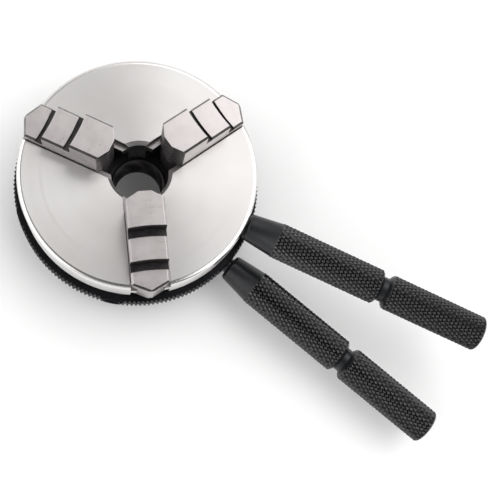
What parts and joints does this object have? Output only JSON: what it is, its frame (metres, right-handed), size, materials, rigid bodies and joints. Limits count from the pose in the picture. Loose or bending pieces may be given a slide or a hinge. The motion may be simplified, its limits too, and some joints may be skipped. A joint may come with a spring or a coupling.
{
  "type": "lathe chuck",
  "caption": "Small self-centring scroll chuck for a bench lathe, with stepped jaws in a ground steel body, a knurled black scroll ring and knurled tommy bars.",
  "frame": {"origin": "middle of the whole part's outline, bars included, on the rear seating face", "axes": "+Z along the spindle axis towards the chuck's front face; -Y along the first jaw's slot; +X to the right when the first jaw points at the viewer"},
  "size_m": [0.1248, 0.1127, 0.037],
  "materials": {
    "ground_steel": "finely turned and ground",
    "jaw_steel": "surface ground, hardened",
    "black_oxide": "black oxide on steel",
    "screw_black": "black oxide alloy steel"
  },
  "bodies": {
    "chuck_body": {"front_body": "ground_steel", "back_plate": "black_oxide", "plate_screw_1": "screw_black", "plate_screw_2": "screw_black", "plate_screw_3": "screw_black"},
    "scroll": {"scroll_ring": "black_oxide"},
    "jaw_1": {"jaw_1": "jaw_steel"},
    "jaw_2": {"jaw_2": "jaw_steel"},
    "jaw_3": {"jaw_3": "jaw_steel"},
    "body_bar": {"body_bar": "black_oxide"},
    "ring_bar": {"ring_bar": "black_oxide"}
  },
  "joints": [
    {"name": "scroll_turn", "type": "hinge", "parent": "chuck_body", "child": "scroll", "pos_m": [-0.02924, 0.02318, 0.01], "axis": [0, 0, 1], "range_deg": [-659, 839]},
    {"name": "jaw_1_slide", "type": "slide", "parent": "chuck_body", "child": "jaw_1", "axis": [0, -1, 0], "range_m": [-0.007, 0.0055]},
    {"name": "jaw_2_slide", "type": "slide", "parent": "chuck_body", "child": "jaw_2", "axis": [0.866, 0.5, 0], "range_m": [-0.007, 0.0055]},
    {"name": "jaw_3_slide", "type": "slide", "parent": "chuck_body", "child": "jaw_3", "axis": [-0.866, 0.5, 0], "range_m": [-0.007, 0.0055]},
    {"name": "body_bar_slide", "type": "slide", "parent": "chuck_body", "child": "body_bar", "axis": [0.8616, -0.5075, 0], "range_m": [0, 0.0105]},
    {"name": "ring_bar_slide", "type": "slide", "parent": "scroll", "child": "ring_bar", "axis": [0.7022, -0.712, 0], "range_m": [0, 0.0105]}
  ],
  "couplings": [
    {"joint": "jaw_1_slide", "follows": "scroll_turn", "m_per_rad": -0.00047746},
    {"joint": "jaw_2_slide", "follows": "scroll_turn", "m_per_rad": -0.00047746},
    {"joint": "jaw_3_slide", "follows": "scroll_turn", "m_per_rad": -0.00047746}
  ]
}
